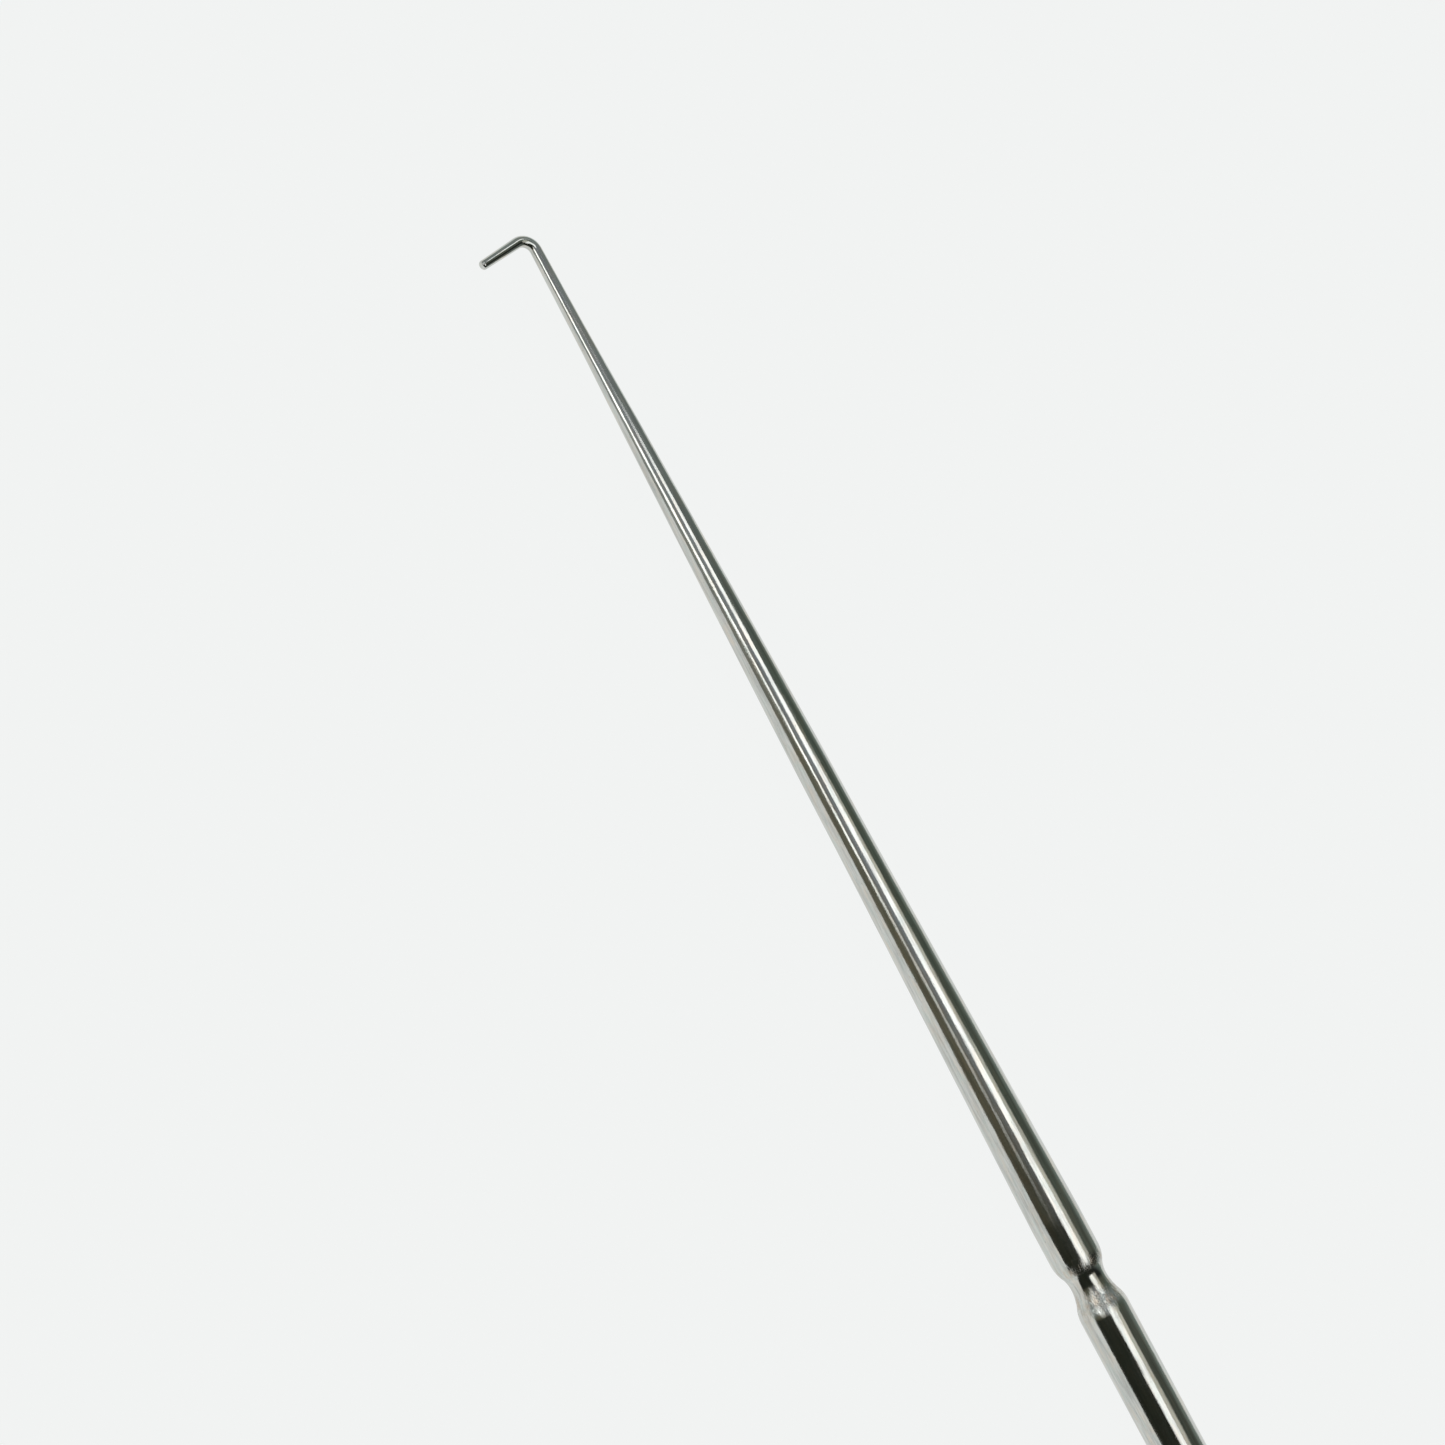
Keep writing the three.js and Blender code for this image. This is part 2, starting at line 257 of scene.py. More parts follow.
class Tree:
    """A node tree, with short calls for the nodes used here."""

    def __init__(self, tree):
        self.tree = tree

    def add(self, kind, **settings):
        node = self.tree.nodes.new(kind)
        for key, value in settings.items():
            setattr(node, key, value)
        return node

    def link(self, output, socket):
        self.tree.links.new(output, socket)

    def ramp(self, value, *stops):
        node = self.add("ShaderNodeValToRGB")
        self.link(value, node.inputs["Fac"])
        elements = node.color_ramp.elements
        while len(elements) < len(stops):
            elements.new(1.0)
        for element, (at, color) in zip(elements, stops):
            element.position = at
            grey = isinstance(color, (int, float))
            element.color = (color, color, color, 1) if grey else (*color, 1)
        return node.outputs["Color"]

    def range(self, value, low, high, start=0.0, end=1.0):
        node = self.add("ShaderNodeMapRange")
        self.link(value, node.inputs["Value"])
        for name, number in (("From Min", low), ("From Max", high), ("To Min", start), ("To Max", end)):
            node.inputs[name].default_value = number
        return node.outputs["Result"]

    def mix(self, factor, a, b, blend="MIX"):
        node = self.add("ShaderNodeMix", data_type="RGBA", blend_type=blend)
        for value, socket in ((factor, node.inputs[0]), (a, node.inputs[6]), (b, node.inputs[7])):
            if isinstance(value, (int, float)):
                socket.default_value = value
            elif isinstance(value, tuple):
                socket.default_value = (*value, 1)
            else:
                self.link(value, socket)
        return node.outputs[2]

    def math(self, operation, a, b=0.0):
        node = self.add("ShaderNodeMath", operation=operation)
        for value, socket in ((a, node.inputs[0]), (b, node.inputs[1])):
            if isinstance(value, (int, float)):
                socket.default_value = value
            else:
                self.link(value, socket)
        return node.outputs[0]


class Nodes(Tree):
    """A material's node tree, whose textures lie in the object's own metres."""

    def __init__(self, name):
        self.material = bpy.data.materials.new(name)
        self.material.use_nodes = True
        super().__init__(self.material.node_tree)
        self.shader = self.tree.nodes["Principled BSDF"]
        self.place = self.add("ShaderNodeTexCoord").outputs["Object"]

    def set(self, **sockets):
        for name, value in sockets.items():
            self.shader.inputs[name.replace("_", " ")].default_value = value

    def stretched(self, x=1.0, y=1.0, z=1.0):
        node = self.add("ShaderNodeMapping")
        self.link(self.place, node.inputs["Vector"])
        node.inputs["Scale"].default_value = (x, y, z)
        return node.outputs["Vector"]

    def noise(self, size_mm, stretch=(1, 1, 1), detail=3.0, roughness=0.55, distortion=0.0):
        """Noise with features about size_mm across, drawn out by `stretch` along x, y, z."""
        node = self.add("ShaderNodeTexNoise")
        self.link(self.stretched(*(1 / s for s in stretch)), node.inputs["Vector"])
        node.inputs["Scale"].default_value = 1 / (size_mm * MM)
        node.inputs["Detail"].default_value = detail
        node.inputs["Roughness"].default_value = roughness
        node.inputs["Distortion"].default_value = distortion
        return node.outputs["Fac"]

    def bump(self, height, depth_um, normal=None):
        """A bump whose height of 1 stands depth_um micrometres proud."""
        node = self.add("ShaderNodeBump")
        node.inputs["Strength"].default_value = 1.0
        node.inputs["Distance"].default_value = depth_um * 1e-6
        self.link(height, node.inputs["Height"])
        if normal is not None:
            self.link(normal, node.inputs["Normal"])
        return node.outputs["Normal"]

    def hand_dressed(self, color, filed):
        """The colour with brownish file marks between two x, and how deep the marks are."""
        x = self.add("ShaderNodeSeparateXYZ")
        self.link(self.place, x.inputs["Vector"])
        first, last = (v * MM for v in filed)
        blend = 0.6 * MM
        inside = self.math("MULTIPLY", self.range(x.outputs["X"], first - blend, first + blend),
                           self.range(x.outputs["X"], last + blend, last - blend))
        marks = self.noise(0.42, stretch=(5, 1, 1), detail=4, roughness=0.7)
        patches = self.noise(0.9, stretch=(1.5, 1, 1), detail=3)
        scratch = self.math("MULTIPLY", inside, self.range(marks, 0.42, 0.62))
        brown = self.math("MULTIPLY", inside, self.range(patches, 0.45, 0.65, 0.0, 0.7))
        return self.mix(brown, color, (0.47, 0.40, 0.32)), scratch

    def finish(self, color, roughness, normal):
        self.link(color, self.shader.inputs["Base Color"])
        self.link(roughness, self.shader.inputs["Roughness"])
        self.link(normal, self.shader.inputs["Normal"])
        return self.material


def polished_steel(name, filed, attribute=None, wave_um=9.0, rough=(0.06, 0.17)):
    """Ground stainless, polished along its length, with faint grinding lines, tints and specks.

    `filed` is the first and last x, in millimetres, of the stretch that was dressed by hand.
    `attribute` names the mesh attribute that holds the texture's place, if not the object's own.
    """
    n = Nodes(name)
    n.set(Metallic=1.0)
    if attribute:
        n.place = n.add("ShaderNodeAttribute", attribute_name=attribute).outputs["Vector"]
    streak = n.noise(0.22, stretch=(22, 1, 1), detail=4, roughness=0.65)
    grind = n.noise(0.5, stretch=(13, 1, 1), detail=4, roughness=0.7)
    wave = n.noise(4.0, stretch=(6, 1, 1), detail=1)
    tone = n.noise(1.3, stretch=(5, 1, 1), detail=3)
    warm = n.noise(0.7, stretch=(4, 1, 1), detail=3)
    cool = n.noise(0.55, stretch=(3, 1, 1), detail=3, roughness=0.65)
    specks = n.noise(0.2, stretch=(1.8, 1, 1), detail=2)
    base = n.ramp(tone, (0.3, (0.585, 0.60, 0.565)), (0.7, (0.665, 0.67, 0.64)))
    color = n.mix(n.range(warm, 0.45, 0.68, 0.0, 0.6), base, (0.68, 0.60, 0.50))
    color = n.mix(n.range(cool, 0.48, 0.66, 0.0, 0.5), color, (0.53, 0.61, 0.57))
    color = n.mix(n.range(streak, 0.4, 0.66, 0.0, 0.35), color, (0.38, 0.385, 0.38))
    color = n.mix(n.range(grind, 0.46, 0.66, 0.0, 0.55), color, (0.34, 0.345, 0.335))
    color = n.mix(n.range(specks, 0.66, 0.76, 0.0, 0.55), color, (0.25, 0.24, 0.225))
    color, scratch = n.hand_dressed(color, filed)
    roughness = n.math("ADD", n.range(streak, 0.3, 0.7, *rough), n.math("MULTIPLY", scratch, 0.16))
    normal = n.bump(wave, wave_um)
    normal = n.bump(scratch, 14.0, normal)
    normal = n.bump(grind, 9.0, normal)
    normal = n.bump(streak, 3.2, normal)
    normal = n.bump(specks, 1.5, normal)
    return n.finish(color, roughness, normal)


def turned_steel(name, light, dark, rough=(0.2, 0.34), ring_mm=0.09, ring_um=1.4, wear=0.3):
    """Turned and plated steel: fine tool rings round the axis, and soft clouding."""
    n = Nodes(name)
    n.set(Metallic=1.0)
    rings = n.noise(ring_mm, stretch=(1, 400, 400), detail=2)
    cloud = n.noise(1.6, detail=4)
    scuff = n.noise(0.25, stretch=(6, 1, 1), detail=3)
    color = n.ramp(cloud, (0.3, dark), (0.72, light))
    color = n.mix(n.range(scuff, 0.62, 0.75, 0.0, wear), color, dark)
    roughness = n.math("ADD", n.range(cloud, 0.3, 0.7, *rough), n.range(scuff, 0.6, 0.75, 0.0, 0.08))
    normal = n.bump(rings, ring_um)
    normal = n.bump(scuff, 0.5, normal)
    return n.finish(color, roughness, normal)


def drawn_nickel(name):
    """Satin nickel plate over drawn hexagonal bar: the marks run along the bar."""
    n = Nodes(name)
    n.set(Metallic=1.0)
    lines = n.noise(0.14, stretch=(60, 1, 1), detail=3)
    cloud = n.noise(2.2, detail=4)
    color = n.ramp(cloud, (0.3, (0.50, 0.485, 0.45)), (0.7, (0.62, 0.605, 0.57)))
    color = n.mix(n.range(lines, 0.4, 0.7, 0.0, 0.25), color, (0.42, 0.41, 0.385))
    roughness = n.range(cloud, 0.3, 0.7, 0.2, 0.32)
    normal = n.bump(lines, 1.2)
    return n.finish(color, roughness, normal)


def black_oxide(name):
    n = Nodes(name)
    n.set(Metallic=0.85)
    grain = n.noise(0.12, detail=4)
    cloud = n.noise(0.8, detail=3)
    color = n.ramp(cloud, (0.3, (0.016, 0.016, 0.019)), (0.75, (0.05, 0.046, 0.044)))
    color = n.mix(n.range(grain, 0.62, 0.74, 0.0, 0.5), color, (0.15, 0.14, 0.13))
    return n.finish(color, n.range(grain, 0.3, 0.7, 0.32, 0.5), n.bump(grain, 2.0))


def brass_plug(name):
    n = Nodes(name)
    n.set(Metallic=1.0)
    rings = n.noise(0.07, stretch=(1, 400, 400), detail=2)
    cloud = n.noise(0.9, detail=3)
    color = n.ramp(cloud, (0.3, (0.42, 0.27, 0.10)), (0.7, (0.66, 0.47, 0.2)))
    return n.finish(color, n.range(cloud, 0.3, 0.7, 0.22, 0.36), n.bump(rings, 1.5))


def ground_carbide(name):
    """Diamond-ground carbide: a matte dark grey with grinding lines along the point."""
    n = Nodes(name)
    n.set(Metallic=1.0)
    lines = n.noise(0.06, stretch=(30, 1, 1), detail=3)
    grain = n.noise(0.03, detail=3)
    color = n.ramp(lines, (0.3, (0.17, 0.17, 0.18)), (0.7, (0.29, 0.29, 0.30)))
    return n.finish(color, n.range(grain, 0.3, 0.7, 0.28, 0.42), n.bump(lines, 0.8))


def needle_steel(name, braze_x):
    """Polished needle steel, with a thin line of brass where the tip is brazed on at braze_x."""
    n = Nodes(name)
    n.set(Metallic=1.0)
    streak = n.noise(0.16, stretch=(70, 1, 1), detail=3)
    cloud = n.noise(1.8, stretch=(4, 1, 1), detail=2)
    steel = n.ramp(cloud, (0.3, (0.52, 0.51, 0.49)), (0.7, (0.64, 0.635, 0.62)))
    ragged = n.noise(0.35, detail=2)
    x = n.add("ShaderNodeSeparateXYZ")
    n.link(n.place, x.inputs["Vector"])
    edge = n.math("ADD", x.outputs["X"], n.range(ragged, 0.3, 0.7, -0.12 * MM, 0.12 * MM))
    brazed = n.range(edge, (braze_x - 0.45) * MM, (braze_x - 0.3) * MM)
    heated = n.range(edge, (braze_x - 4.0) * MM, (braze_x - 0.6) * MM, 0.0, 0.75)
    color = n.mix(heated, steel, (0.36, 0.27, 0.17))
    color = n.mix(brazed, color, (0.72, 0.50, 0.21))
    roughness = n.range(streak, 0.3, 0.7, 0.1, 0.2)
    return n.finish(color, roughness, n.bump(streak, 0.6))


# ---- Hooked point -----------------------------------------------------------------------------

STRAIGHT = "straight"             # the attribute that holds a vertex's place before it is bent


def bent(x, r, angle):
    """Where a point of the straight rod lies once the hook is bent: x counts from the seam."""
    bend_at = TAPER[-1][0]
    full, radius = HOOK["bend_angle"], HOOK["bend_radius"]
    inward, up = r * math.sin(angle), r * math.cos(angle)
    turn = min(max((x - bend_at) / radius, 0.0), full)
    past = max(x - bend_at - radius * full, 0.0)
    back = (min(x, bend_at) + radius * math.sin(turn) + past * math.cos(full)
            - inward * math.sin(turn))
    side = radius * (1 - math.cos(turn)) + past * math.sin(full) + inward * math.cos(turn)
    return (SEAM - back, -side, AXIS_Z + up)


def hooked_point():
    """The point, modelled straight from the seam and bent as it is placed."""
    w, hole, up = WAIST, STUD_HOLE, math.pi / 2
    bend_at, bend_r = TAPER[-1]
    bend_end = bend_at + HOOK["bend_radius"] * HOOK["bend_angle"]
    end = bend_end + HOOK["leg"]
    start = math.acos(1 - (ROD_R - w["mouth_r"]) / w["shoulder_arc"])
    shoulder = w["shoulder_arc"] * math.sin(start)
    leg_end = (end - HOOK["end_round"], HOOK["end_r"])
    outline = [
        (hole["depth"], 0), (hole["depth"], hole["r"]),
        (hole["chamfer"], hole["r"]), (0, hole["r"] + hole["chamfer"]),
        (0, w["mouth_r"] - 2 * SEAM_CHAMFER),
        *arc(shoulder, ROD_R - w["shoulder_arc"], w["shoulder_arc"], up + start, up, 20),
        *between((shoulder, ROD_R), TAPER[0], 6),
        *spline(TAPER, 30)[1:],
        *between((bend_at, bend_r), (bend_end, HOOK["leg_r"]), 32),
        *between((bend_end, HOOK["leg_r"]), leg_end, 12),
        *arc(leg_end[0], HOOK["end_r"] - HOOK["end_round"], HOOK["end_round"], up, 0, 10)[1:],
        (end, 0),
    ]
    obj = revolved("point", outline, sides=128, place=bent)
    straight = obj.data.attributes.new(STRAIGHT, "FLOAT_VECTOR", "POINT")
    along = revolved("straight_point", outline, sides=128)
    for value, vertex in zip(straight.data, along.data.vertices):
        value.vector = vertex.co
    bpy.data.objects.remove(along)
    return obj


# ---- Barrel and what is inside the seam ---------------------------------------------------------

def neck():
    """The barrel's outline from the seam, through the waist, to where it is a plain rod."""
    w, up = WAIST, math.pi / 2
    waist_x = SEAM + w["at"]
    front_turn = math.asin(w["at"] / w["front_arc"])
    flare_arc = w["rear_arc"] + w["shoulder_arc"]
    flare = math.acos(1 - (ROD_R - w["r"]) / flare_arc)
    flare_end = waist_x + flare_arc * math.sin(flare)
    return [
        *arc(waist_x, w["r"] + w["front_arc"], w["front_arc"], -up - front_turn, -up, 20),
        *arc(waist_x, w["r"] + w["rear_arc"], w["rear_arc"], -up, -up + flare, 24)[1:],
        *arc(flare_end, ROD_R - w["shoulder_arc"], w["shoulder_arc"], up + flare, up, 20)[1:],
        *between((flare_end, ROD_R), (GRIP_REAR, ROD_R), 40),
    ]


def barrel():
    hole = STUD_HOLE
    pocket = span("collet")[0] - POCKET_GAP
    rings = int((THREAD_END - GRIP_REAR) / THREAD["pitch"] * THREAD_STEPS)
    start = (GRIP_REAR + THREAD["run_out"], THREAD["r"])
    stop = (THREAD_END - THREAD["chamfer"], THREAD["r"])
    outline = [
        (SEAM, hole["r"] + hole["chamfer"]), (SEAM, WAIST["mouth_r"] - 2 * SEAM_CHAMFER),
        *neck(), start, *between(start, stop, rings),
        (THREAD_END, THREAD["r"] - THREAD["chamfer"]), (THREAD_END, COLLET["head_r"] + FIT),
        (THREAD_END - SEAT, COLLET["shank_r"] + FIT), (pocket, COLLET["shank_r"] + FIT),
        (pocket, NEEDLE_BORE), (SEAM + hole["depth"], NEEDLE_BORE),
        (SEAM + hole["depth"], hole["r"]), (SEAM + hole["chamfer"], hole["r"]),
    ]

    def threaded(x, r, angle):
        on_thread = start[0] < x < stop[0] and r > THREAD["r"] - SAME
        return r - thread_ridge(x, angle, THREAD["pitch"], THREAD["depth"]) if on_thread else r

    body = revolved("barrel_body", outline, sides=128, radius=threaded)
    dimple = [(SCREW["toe"] - DIMPLE["depth"], SCREW["dog_r"] + DIMPLE["gap"]),
              (HEX_FLATS, SCREW["dog_r"] + DIMPLE["gap"])]
    dimples = [turned_across("dimple", span(node), dimple) for node in ("front_collar", "rear_collar")]
    return cut(body, *dimples)


def turned_across(name, ends, outline, sides=48):
    """A solid turned about an axis through the screws' flat, midway between two x."""
    along = [(outline[0][0], 0), *outline, (outline[-1][0], 0)]
    return revolved(name, along, sides=sides, place=across_flat(sum(ends) / 2))


def joining_stud():
    first, last = span("joining_stud")
    s = STUD
    start, stop = (first + s["chamfer"], s["r"]), (last - s["chamfer"], s["r"])
    outline = [(first, 0), (first, s["r"] - s["chamfer"]), start, *between(start, stop, 140),
               (last, s["r"] - s["chamfer"]), (last, 0)]

    def threaded(x, r, angle):
        return r - thread_ridge(x, angle, s["pitch"], s["thread_depth"]) if r > s["r"] - SAME else r

    stud = revolved("stud", outline, sides=48, radius=threaded)
    size = (2 * s["slot_depth"], 3 * s["r"], s["slot_width"])
    return cut(stud, box_piece("slot", (first, 0, AXIS_Z), size))


def needle_stop():
    first, last = span("needle_stop")
    r, chamfer = NEEDLE_BORE - STOP["gap"], STOP["chamfer"]
    outline = [(first, 0), (first, r - chamfer), (first + chamfer, r),
               (last - chamfer, r), (last, r - chamfer), (last, 0)]
    return revolved("bore_stop", outline, sides=48)


# ---- Grip -------------------------------------------------------------------------------------

KNURL_AROUND = 34                 # diamonds round the sleeve
KNURL_DEPTH = 0.3
KNURL_STEPS = 6                   # mesh steps across one diamond
KNURL_CREST = 0.25                # share of a diamond's half width that stays flat


def knurled_sleeve():
    """A sleeve with a diamond knurl, cut as two crossing families of V grooves."""
    first, last = span("grip_sleeve")
    s = SLEEVE
    pitch = TAU * s["r"] / KNURL_AROUND
    land_start, land_end = first + s["relief"], last - s["relief"]
    knurl_start, knurl_end = land_start + s["chamfer"], land_end - s["chamfer"]
    rings = int((knurl_end - knurl_start) / pitch * KNURL_STEPS)
    bore, inner, edge = GRIP_BORE, s["bore_chamfer"], s["edge"]
    outline = [
        (first, bore + inner), (first, s["relief_r"] - edge), (first + edge, s["relief_r"]),
        (land_start, s["relief_r"]), (land_start + 0.02, s["relief_r"]),
        *between((land_start, s["relief_r"]), (knurl_start, s["r"]), 3),
        *between((knurl_start, s["r"]), (knurl_end, s["r"]), rings),
        *between((knurl_end, s["r"]), (land_end, s["relief_r"]), 3),
        (last - edge, s["relief_r"]), (last, s["relief_r"] - edge),
        (last, bore + inner), (last - inner, bore), (first + inner, bore),
    ]

    def knurl(x, r, angle):
        if r <= s["relief_r"]:
            return r
        u, v = KNURL_AROUND * angle / TAU, (x - knurl_start) / pitch
        groove = max(abs(2 * ((u + v) % 1) - 1), abs(2 * ((u - v) % 1) - 1))
        share = min(1.0, max(0.0, (groove - KNURL_CREST) / (1 - KNURL_CREST)))
        return min(r, s["r"] - KNURL_DEPTH * share)

    sides = KNURL_AROUND * KNURL_STEPS
    return revolved("knurled_sleeve", outline, sides=sides, radius=knurl, sharp=20)


COLLAR_SHARP = 22                 # degrees, less than the angle of the collars' end chamfer


def hex_radius(angle):
    """Distance from the axis to a hexagonal bar's surface, with its corners just broken."""
    off_flat = (angle + TAU / 12) % (TAU / 6) - TAU / 12
    corner = HEX_CORNER - COLLAR["corner_cut"]
    return soft_min(HEX_FLATS / 2 / math.cos(off_flat), corner, COLLAR["corner_blend"])


def soft_min(a, b, blend):
    """The smaller of a and b, rounded off where they are within `blend` of each other."""
    near = max(blend - abs(a - b), 0) / blend
    return min(a, b) - near * near * blend / 4


def hex_collar(node):
    """A length of hexagonal bar, chamfered at both ends, bored, and drilled for its screw."""
    first, last = span(node)
    c = COLLAR
    chamfer, inner, edge, bore = c["chamfer"], c["bore_chamfer"], c["edge"], GRIP_BORE
    flat, tall = HEX_FLATS / 2, HEX_CORNER + 0.1
    outline = [
        (first, bore + inner), (first, flat - c["edge_drop"]), (first + edge, flat),
        *between((first + edge, flat), (first + chamfer, tall), 14),
        *between((first + chamfer, tall), (last - chamfer, tall), 6),
        *between((last - chamfer, tall), (last - edge, flat), 14),
        (last, flat - c["edge_drop"]), (last, bore + inner), (last - inner, bore), (first + inner, bore),
    ]

    def hexagonal(x, r, angle):
        return soft_min(r, hex_radius(angle), c["chamfer_blend"]) if r > flat - SAME else r

    name = node.replace("_collar", "_hex")
    collar = revolved(name, outline, sides=240, radius=hexagonal, sharp=COLLAR_SHARP)
    rim, hole_r = c["hole_rim"], SCREW["hole"]
    hole = turned_across("hole", (first, last), [
        (ROD_R - 1, hole_r), (flat - rim, hole_r),
        (flat + rim, hole_r + 2 * rim), (HEX_FLATS, hole_r + 2 * rim)])
    return cut(collar, hole, sharp=COLLAR_SHARP)


def set_screw(node, collar):
    s = SCREW
    rings = int((s["head"] - s["heel"]) / s["pitch"] * THREAD_STEPS)
    top = (s["head"] - 0.1, s["r"])
    bottom = (s["heel"] + s["heel_chamfer"], s["r"])
    dog = s["dog_chamfer"]
    outline = [(s["toe"], 0), (s["toe"], s["dog_r"] - dog), (s["toe"] + dog, s["dog_r"]),
               (s["heel"], s["dog_r"]), (s["heel"], s["r"] - s["heel_chamfer"]), bottom,
               *between(bottom, top, rings), (s["head"], s["r"] - s["head_chamfer"]), (s["head"], 0)]

    def threaded(x, r, angle):
        return r - thread_ridge(x, angle, s["pitch"], s["thread_depth"]) if r > s["r"] - SAME else r

    place = across_flat(sum(span(collar)) / 2)
    screw = revolved(node.replace("_set", "_socket"), outline, sides=48, radius=threaded, place=place)
    deep = s["head"] - s["socket_depth"]
    corner = s["socket"] / math.sqrt(3)
    socket = revolved("socket", [(deep - s["socket_cone"], 0), (deep, corner),
                                 (s["head"] + 1, corner), (s["head"] + 1, 0)], sides=6, place=place)
    return cut(screw, socket)


# ---- Collet chuck -----------------------------------------------------------------------------

def collet():
    c = COLLET
    first, face = span("collet")
    head = face - c["cone"]
    body = revolved("spring_collet", rounded([
        (first, c["bore"]), (first, c["shank_r"] - c["chamfer"]), (first + c["chamfer"], c["shank_r"]),
        (THREAD_END - SEAT, c["shank_r"]), (THREAD_END, c["head_r"]), (head, c["head_r"]),
        (face, c["face_r"]), (face, c["bore"])], c["corner"]), sides=96)
    length = c["slit_length"] + 1
    middle = (face + 1 - length / 2, 0, AXIS_Z)
    wide = 3 * c["head_r"]
    return cut(body, box_piece("slit", middle, (length, wide, c["slit"])),
               box_piece("cross_slit", middle, (length, c["slit"], wide)))


NUT_TEETH = 44                    # straight knurls round the chuck nut
NUT_TOOTH_DEPTH = 0.22
NUT_NECK = NUT["r"] - NUT["chamfer"]


def nut_outside(first, last):
    n = NUT
    nose = last - n["nose"]
    start, stop = first + n["chamfer"], nose - n["groove"] - n["chamfer"]
    edge, drop = n["edge"], 0.03
    return [
        (first, NUT_NECK - edge), (first + edge, NUT_NECK),
        *between((first + edge, NUT_NECK), (start, n["r"]), 4),
        *between((start, n["r"]), (stop, n["r"]), 10),
        *between((stop, n["r"]), (nose - n["groove"], NUT_NECK), 4),
        (nose - 0.45, NUT_NECK - drop), (nose - 0.1, NUT_NECK - drop), (nose, NUT_NECK - 0.02),
        *between((nose, NUT_NECK - 0.02), (last - 0.25, n["nose_r"] + drop), 8),
        (last - n["nose_edge"], n["nose_r"]), (last, n["nose_r"] - n["nose_edge"]),
    ]


def nut_inside(first, last):
    n = NUT
    face = span("collet")[1] + n["hole_chamfer"]
    head = span("collet")[1] - COLLET["cone"]
    thread_r, head_r = THREAD["r"] + FIT, COLLET["head_r"] + n["head_gap"]
    return [
        (last, n["hole"] + n["hole_chamfer"]), (last - n["hole_chamfer"], n["hole"]),
        (face, n["hole"]), (face, COLLET["face_r"] + FIT),
        (head - FIT, head_r), (head - n["shelf"], head_r), (head - n["shelf"], thread_r),
        (first + THREAD["chamfer"], thread_r), (first, thread_r + THREAD["chamfer"]),
    ]


def chuck_nut():
    first, last = span("chuck_nut")
    inside = nut_inside(first, last)
    outline = [inside[-1], *nut_outside(first, last), *inside[:-1]]

    def knurl(x, r, angle):
        if r <= NUT_NECK + 0.001:
            return r
        phase = abs(2 * ((NUT_TEETH * angle / TAU) % 1) - 1)
        return min(r, NUT["r"] - NUT_TOOTH_DEPTH * min(1.0, max(0.0, (phase - 0.3) / 0.55)))

    return revolved("knurled_nut", outline, sides=NUT_TEETH * 8, radius=knurl, sharp=25)


# ---- Needle -----------------------------------------------------------------------------------

def needle():
    first, last = span("needle")
    r, start = NEEDLE["r"], first + NEEDLE["chamfer"]
    outline = [(first, 0), (first, r - NEEDLE["chamfer"]), (start, r),
               *between((start, r), (last, r), 30), (last, 0)]
    return revolved("needle_shank", outline, sides=64)


def carbide_tip():
    first, last = span("carbide_tip")
    r, tip_r = NEEDLE["r"], TIP["point_r"]
    cone = last - TIP["point"]
    start = (cone + TIP["land"], r * TIP["taper"])
    outline = [(first, 0), (first, r), (cone - TIP["land"], r), start,
               *between(start, (last - tip_r, tip_r), 16),
               *arc(last - tip_r, 0, tip_r, math.pi / 2, 0, 5)[1:-1], (last, 0)]
    return revolved("needle_tip", outline, sides=64)


# ---- Assembly ---------------------------------------------------------------------------------

def fit(obj, node, body, material):
    obj.data.materials.clear()
    obj.data.materials.append(material)
    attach(obj, body)
    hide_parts(node)


NICKEL = (0.62, 0.605, 0.57)
KNURL_SHADE = (0.40, 0.385, 0.35)
NUT_SHADE = (0.46, 0.445, 0.41)
SPRING_STEEL = (0.42, 0.39, 0.35)
SPRING_SHADE = (0.25, 0.235, 0.23)
POINT_DRESSED = (-0.5, 1.4)       # where each rod was dressed by hand, in its own texture's x
BARREL_DRESSED = (SEAM + 2.2, SEAM + 5.0)


def assemble():
    point_finish = polished_steel("polished_point_steel", POINT_DRESSED, STRAIGHT)
    barrel_finish = polished_steel("polished_barrel_steel", BARREL_DRESSED)
    sleeve_finish = turned_steel("nickel_knurl", NICKEL, KNURL_SHADE, ring_um=0.8)
    nut_finish = turned_steel("nickel_nut", NICKEL, NUT_SHADE)
    collar_finish = drawn_nickel("nickel_hex_bar")
    collet_finish = turned_steel("spring_steel", SPRING_STEEL, SPRING_SHADE)
    screw_finish = black_oxide("black_oxide")
    fit(hooked_point(), "hook_point", "handle", point_finish)
    fit(joining_stud(), "joining_stud", "handle", screw_finish)
    fit(barrel(), "barrel", "handle", barrel_finish)
    fit(needle_stop(), "needle_stop", "handle", brass_plug("turned_brass"))
    fit(knurled_sleeve(), "grip_sleeve", "handle", sleeve_finish)
    for end in ("front", "rear"):
        fit(hex_collar(end + "_collar"), end + "_collar", "handle", collar_finish)
        fit(set_screw(end + "_set_screw", end + "_collar"), end + "_set_screw", "handle",
            screw_finish)
    fit(collet(), "collet", "collet", collet_finish)
    fit(chuck_nut(), "chuck_nut", "chuck_nut", nut_finish)
    fit(needle(), "needle", "needle",
        needle_steel("needle_steel", span("needle")[1]))
    fit(carbide_tip(), "carbide_tip", "needle", ground_carbide("ground_carbide"))


# ---- Camera, floor and light ------------------------------------------------------------------

